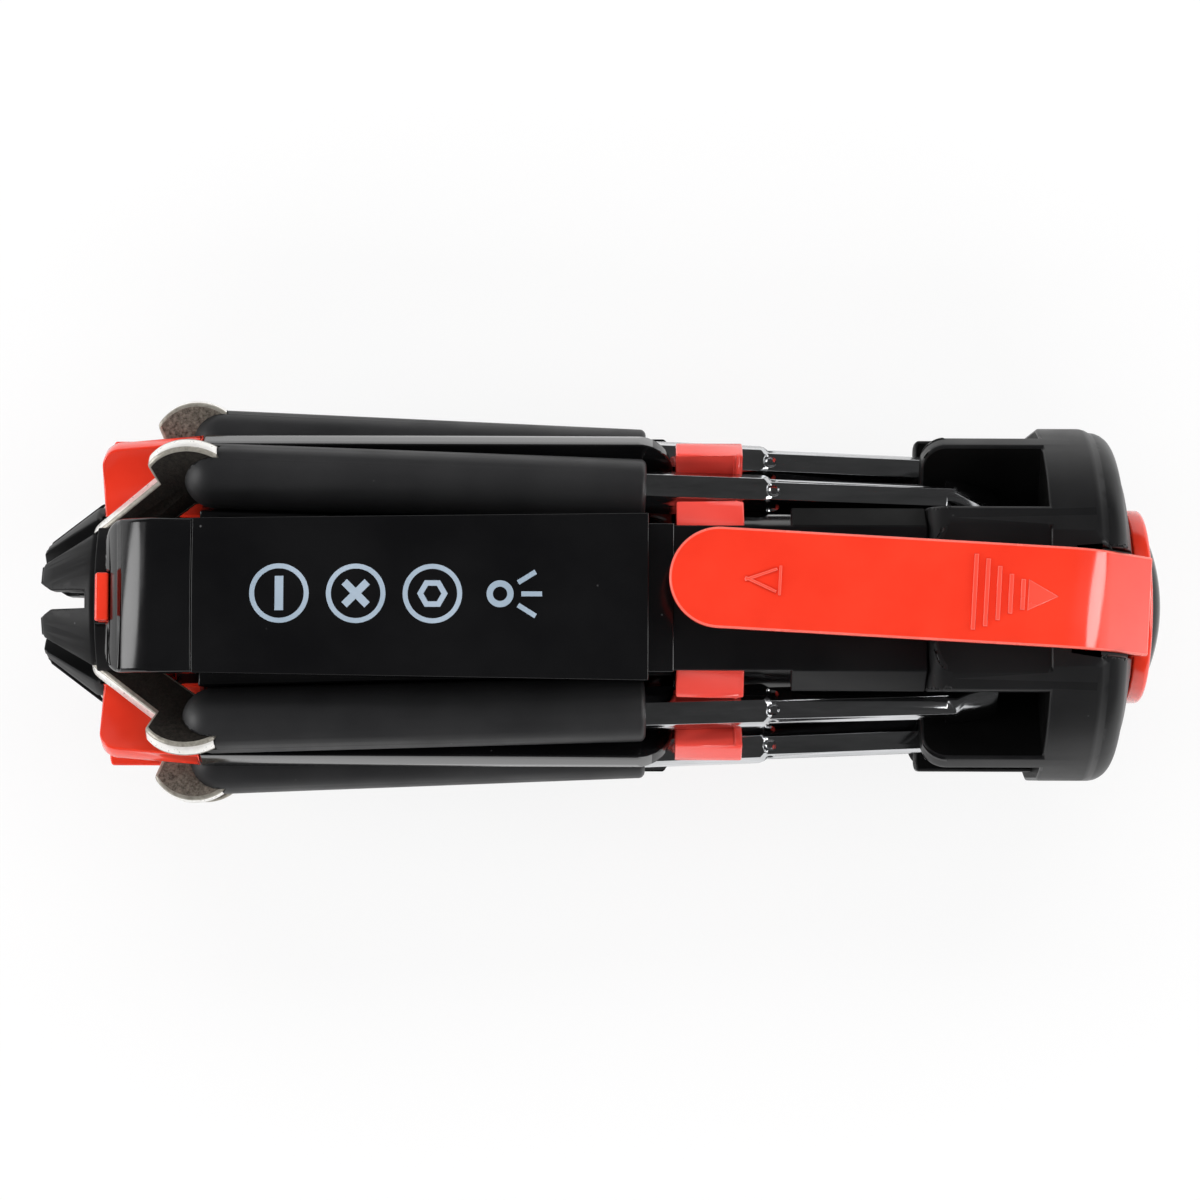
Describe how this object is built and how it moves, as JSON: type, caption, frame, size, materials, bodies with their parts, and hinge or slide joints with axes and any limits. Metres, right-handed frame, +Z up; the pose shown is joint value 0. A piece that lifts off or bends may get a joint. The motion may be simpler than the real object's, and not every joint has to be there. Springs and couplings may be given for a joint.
{
  "type": "pocket screwdriver",
  "caption": "Pocket tool with fold-out screwdrivers round a battery torch: each driver swings out to stand in line with the slotted nose, and a clip holds the tool in a pocket.",
  "frame": {"origin": "under the middle of the tool, on the surface that its battery door rests on", "axes": "+X from the slotted nose to the torch lens, +Z up out of the front panel and the clip"},
  "size_m": [0.1296, 0.0466, 0.0433],
  "materials": {
    "black_plastic": "glossy moulded plastic",
    "red_plastic": "glossy moulded plastic",
    "soft_grip": "matte moulded rubber",
    "cast_steel": "rough faces with bright ground edges",
    "plated_shaft": "polished plating",
    "bright_steel": "bright",
    "smoked_plastic": "polished dark lens",
    "board_green": "satin",
    "white_plastic": "satin",
    "clear_plastic": "clear",
    "contact_brass": "bright",
    "wire_cover": "satin",
    "cell_jacket": "satin"
  },
  "bodies": {
    "body": {"front_shell": "black_plastic", "rear_shell": "black_plastic", "front_panel": "black_plastic", "front_end_cap": "black_plastic", "rear_end_cap": "black_plastic", "pivot_hub": "red_plastic", "pivot_pins": "bright_steel", "nose_cone": "black_plastic", "nose_screw": "bright_steel", "head_crown": "black_plastic", "shell_screws": "bright_steel", "head_screws": "bright_steel", "torch_barrel": "black_plastic", "light_board": "board_green", "light_switch": "white_plastic", "leds": "clear_plastic", "led_holder": "white_plastic", "lens_spring": "bright_steel", "nose_contact": "contact_brass", "head_contact": "contact_brass", "contact_springs": "bright_steel", "wires": "wire_cover", "battery_1": "cell_jacket", "battery_2": "cell_jacket", "battery_3": "cell_jacket"},
    "door": {"battery_door": "black_plastic"},
    "lens": {"push_lens": "smoked_plastic"},
    "slider": {"slider_sleeve": "black_plastic", "slider_ring": "red_plastic", "lens_bezel": "red_plastic", "pocket_clip": "red_plastic"},
    "driver_1": {"tang_1": "cast_steel", "grip_1": "soft_grip", "shaft_1": "plated_shaft"},
    "driver_2": {"tang_2": "cast_steel", "grip_2": "soft_grip", "shaft_2": "plated_shaft"},
    "driver_3": {"tang_3": "cast_steel", "grip_3": "soft_grip", "shaft_3": "plated_shaft"},
    "driver_4": {"tang_4": "cast_steel", "grip_4": "soft_grip", "shaft_4": "plated_shaft"},
    "driver_5": {"tang_5": "cast_steel", "grip_5": "soft_grip", "shaft_5": "plated_shaft"},
    "driver_6": {"tang_6": "cast_steel", "grip_6": "soft_grip", "shaft_6": "plated_shaft"},
    "driver_7": {"tang_7": "cast_steel", "grip_7": "soft_grip", "shaft_7": "plated_shaft"},
    "driver_8": {"tang_8": "cast_steel", "grip_8": "soft_grip", "shaft_8": "plated_shaft"}
  },
  "joints": [
    {"name": "door_slide", "type": "slide", "parent": "body", "child": "door", "axis": [1, 0, 0], "range_m": [0, 0.008]},
    {"name": "lens_press", "type": "slide", "parent": "body", "child": "lens", "axis": [-1, 0, 0], "range_m": [0, 0.001], "stiffness_N_per_m": 600},
    {"name": "slider_slide", "type": "slide", "parent": "body", "child": "slider", "axis": [1, 0, 0], "range_m": [0, 0.005]},
    {"name": "driver_1_fold", "type": "hinge", "parent": "body", "child": "driver_1", "pos_m": [-0.05625, 0.00711, 0.02755], "axis": [0, -0.6884, 0.7254], "range_deg": [0, 182.5]},
    {"name": "driver_2_fold", "type": "hinge", "parent": "body", "child": "driver_2", "pos_m": [-0.05625, 0.00949, 0.02325], "axis": [0, -0.2504, 0.9681], "range_deg": [0, 120]},
    {"name": "driver_3_fold", "type": "hinge", "parent": "body", "child": "driver_3", "pos_m": [-0.05625, 0.00949, 0.01835], "axis": [0, 0.2504, 0.9681], "range_deg": [0, 120]},
    {"name": "driver_4_fold", "type": "hinge", "parent": "body", "child": "driver_4", "pos_m": [-0.05625, 0.00711, 0.01405], "axis": [0, 0.6884, 0.7254], "range_deg": [0, 120]},
    {"name": "driver_5_fold", "type": "hinge", "parent": "body", "child": "driver_5", "pos_m": [-0.05625, -0.00711, 0.01405], "axis": [0, 0.6884, -0.7254], "range_deg": [0, 120]},
    {"name": "driver_6_fold", "type": "hinge", "parent": "body", "child": "driver_6", "pos_m": [-0.05625, -0.00949, 0.01835], "axis": [0, 0.2504, -0.9681], "range_deg": [0, 120]},
    {"name": "driver_7_fold", "type": "hinge", "parent": "body", "child": "driver_7", "pos_m": [-0.05625, -0.00949, 0.02325], "axis": [0, -0.2504, -0.9681], "range_deg": [0, 120]},
    {"name": "driver_8_fold", "type": "hinge", "parent": "body", "child": "driver_8", "pos_m": [-0.05625, -0.00711, 0.02755], "axis": [0, 0.6884, 0.7254], "range_deg": [-182.5, 0]}
  ]
}
